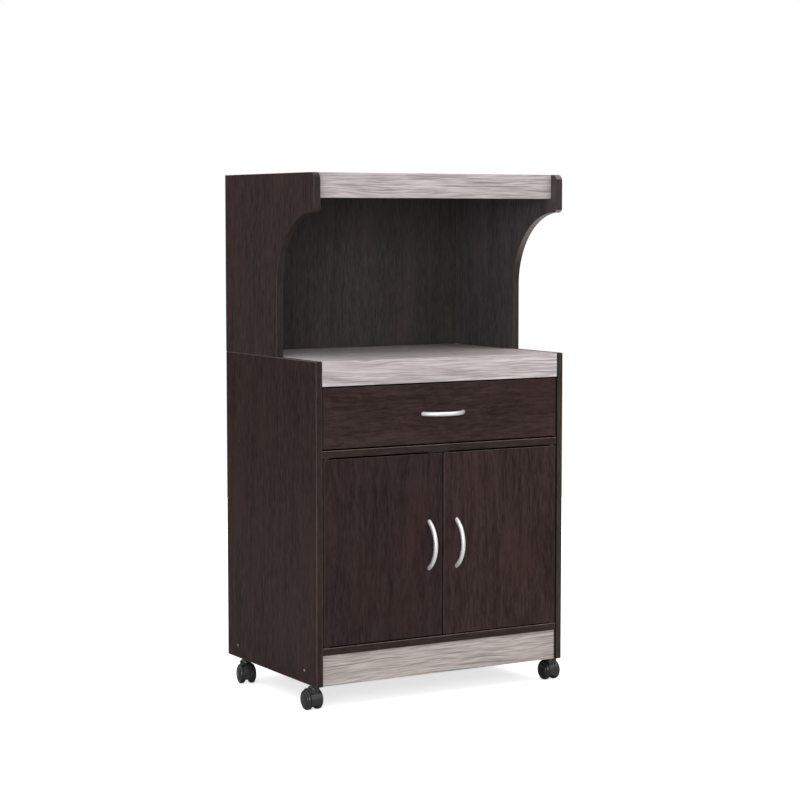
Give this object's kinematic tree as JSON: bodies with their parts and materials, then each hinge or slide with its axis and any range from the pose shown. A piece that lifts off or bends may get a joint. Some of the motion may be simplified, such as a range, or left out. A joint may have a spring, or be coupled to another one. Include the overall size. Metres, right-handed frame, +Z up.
{
  "type": "microwave cart",
  "caption": "Microwave cart on swivel casters, with an open curved hutch above a drawer and a cupboard with inset doors.",
  "frame": {"origin": "on the floor under the middle of the cart, taken over everything that stands out, handles and casters included", "axes": "+Z up, front with the drawer and doors towards -Y, +X to the right as seen from the front"},
  "size_m": [0.634, 0.4404, 1.093],
  "materials": {
    "dark_melamine": "satin, fine vertical grain",
    "grey_woodgrain": "matt, fine horizontal grain",
    "drawer_board": "satin",
    "hardboard": "matt",
    "satin_nickel": "satin",
    "zinc_steel": "bright zinc",
    "bronze_steel": "dark bronze, semi-matt",
    "white_steel": "epoxy coated",
    "black_nylon": "semi-matt",
    "grey_nylon": "semi-matt"
  },
  "bodies": {
    "cabinet": {"lower_side_left": "dark_melamine", "lower_side_right": "dark_melamine", "hutch_side_left": "dark_melamine", "hutch_side_right": "dark_melamine", "hutch_fascia": "grey_woodgrain", "hutch_top": "grey_woodgrain", "hutch_back": "hardboard", "shelf_fascia": "grey_woodgrain", "microwave_shelf": "grey_woodgrain", "divider": "dark_melamine", "bottom_panel": "dark_melamine", "kick_board": "grey_woodgrain", "lower_back": "hardboard", "front_rail": "dark_melamine", "back_rail": "dark_melamine", "inner_shelf": "dark_melamine", "shelf_pin_front_left": "zinc_steel", "shelf_pin_back_left": "zinc_steel", "shelf_pin_front_right": "zinc_steel", "shelf_pin_back_right": "zinc_steel", "pivot_plate_top_left": "bronze_steel", "pivot_plate_bottom_left": "bronze_steel", "pivot_plate_top_right": "bronze_steel", "pivot_plate_bottom_right": "bronze_steel", "cabinet_runner_left": "white_steel", "cabinet_runner_right": "white_steel", "door_catch": "grey_nylon", "caster_stem_front_left": "zinc_steel", "caster_stem_back_left": "zinc_steel", "caster_stem_front_right": "zinc_steel", "caster_stem_back_right": "zinc_steel"},
    "drawer": {"drawer_front": "dark_melamine", "drawer_side_left": "drawer_board", "drawer_side_right": "drawer_board", "drawer_back": "drawer_board", "drawer_bottom": "hardboard", "drawer_runner_left": "white_steel", "drawer_runner_right": "white_steel", "drawer_handle": "satin_nickel"},
    "door_left": {"door_left": "dark_melamine", "door_handle_left": "satin_nickel", "pivot_bush_top_left": "grey_nylon", "pivot_bush_bottom_left": "grey_nylon"},
    "door_right": {"door_right": "dark_melamine", "door_handle_right": "satin_nickel", "pivot_bush_top_right": "grey_nylon", "pivot_bush_bottom_right": "grey_nylon"},
    "caster_front_left": {"caster_hood_front_left": "black_nylon"},
    "wheel_left_front_left": {"caster_wheel_left_front_left": "black_nylon"},
    "wheel_right_front_left": {"caster_wheel_right_front_left": "black_nylon"},
    "caster_back_left": {"caster_hood_back_left": "black_nylon"},
    "wheel_left_back_left": {"caster_wheel_left_back_left": "black_nylon"},
    "wheel_right_back_left": {"caster_wheel_right_back_left": "black_nylon"},
    "caster_front_right": {"caster_hood_front_right": "black_nylon"},
    "wheel_left_front_right": {"caster_wheel_left_front_right": "black_nylon"},
    "wheel_right_front_right": {"caster_wheel_right_front_right": "black_nylon"},
    "caster_back_right": {"caster_hood_back_right": "black_nylon"},
    "wheel_left_back_right": {"caster_wheel_left_back_right": "black_nylon"},
    "wheel_right_back_right": {"caster_wheel_right_back_right": "black_nylon"}
  },
  "joints": [
    {"name": "drawer_slide", "type": "slide", "parent": "cabinet", "child": "drawer", "axis": [0, -1, 0], "range_m": [0, 0.26]},
    {"name": "door_left_hinge", "type": "hinge", "parent": "cabinet", "child": "door_left", "pos_m": [-0.276, -0.18375, 0.324], "axis": [0, 0, -1], "range_deg": [0, 105]},
    {"name": "door_right_hinge", "type": "hinge", "parent": "cabinet", "child": "door_right", "pos_m": [0.276, -0.18375, 0.324], "axis": [0, 0, 1], "range_deg": [0, 105]},
    {"name": "caster_front_left_swivel", "type": "hinge", "parent": "cabinet", "child": "caster_front_left", "pos_m": [-0.2925, -0.16175, 0.05], "axis": [0, 0, 1], "continuous": true},
    {"name": "wheel_left_front_left_spin", "type": "hinge", "parent": "caster_front_left", "child": "wheel_left_front_left", "pos_m": [-0.2925, -0.15375, 0.021], "axis": [1, 0, 0], "continuous": true},
    {"name": "wheel_right_front_left_spin", "type": "hinge", "parent": "caster_front_left", "child": "wheel_right_front_left", "pos_m": [-0.2925, -0.15375, 0.021], "axis": [1, 0, 0], "continuous": true},
    {"name": "caster_back_left_swivel", "type": "hinge", "parent": "cabinet", "child": "caster_back_left", "pos_m": [-0.2925, 0.15025, 0.05], "axis": [0, 0, 1], "continuous": true},
    {"name": "wheel_left_back_left_spin", "type": "hinge", "parent": "caster_back_left", "child": "wheel_left_back_left", "pos_m": [-0.29457, 0.14252, 0.021], "axis": [-0.9659, 0.2588, 0], "continuous": true},
    {"name": "wheel_right_back_left_spin", "type": "hinge", "parent": "caster_back_left", "child": "wheel_right_back_left", "pos_m": [-0.29457, 0.14252, 0.021], "axis": [-0.9659, 0.2588, 0], "continuous": true},
    {"name": "caster_front_right_swivel", "type": "hinge", "parent": "cabinet", "child": "caster_front_right", "pos_m": [0.2925, -0.16175, 0.05], "axis": [0, 0, 1], "continuous": true},
    {"name": "wheel_left_front_right_spin", "type": "hinge", "parent": "caster_front_right", "child": "wheel_left_front_right", "pos_m": [0.2925, -0.15375, 0.021], "axis": [1, 0, 0], "continuous": true},
    {"name": "wheel_right_front_right_spin", "type": "hinge", "parent": "caster_front_right", "child": "wheel_right_front_right", "pos_m": [0.2925, -0.15375, 0.021], "axis": [1, 0, 0], "continuous": true},
    {"name": "caster_back_right_swivel", "type": "hinge", "parent": "cabinet", "child": "caster_back_right", "pos_m": [0.2925, 0.15025, 0.05], "axis": [0, 0, 1], "continuous": true},
    {"name": "wheel_left_back_right_spin", "type": "hinge", "parent": "caster_back_right", "child": "wheel_left_back_right", "pos_m": [0.29457, 0.14252, 0.021], "axis": [-0.9659, -0.2588, 0], "continuous": true},
    {"name": "wheel_right_back_right_spin", "type": "hinge", "parent": "caster_back_right", "child": "wheel_right_back_right", "pos_m": [0.29457, 0.14252, 0.021], "axis": [-0.9659, -0.2588, 0], "continuous": true}
  ]
}
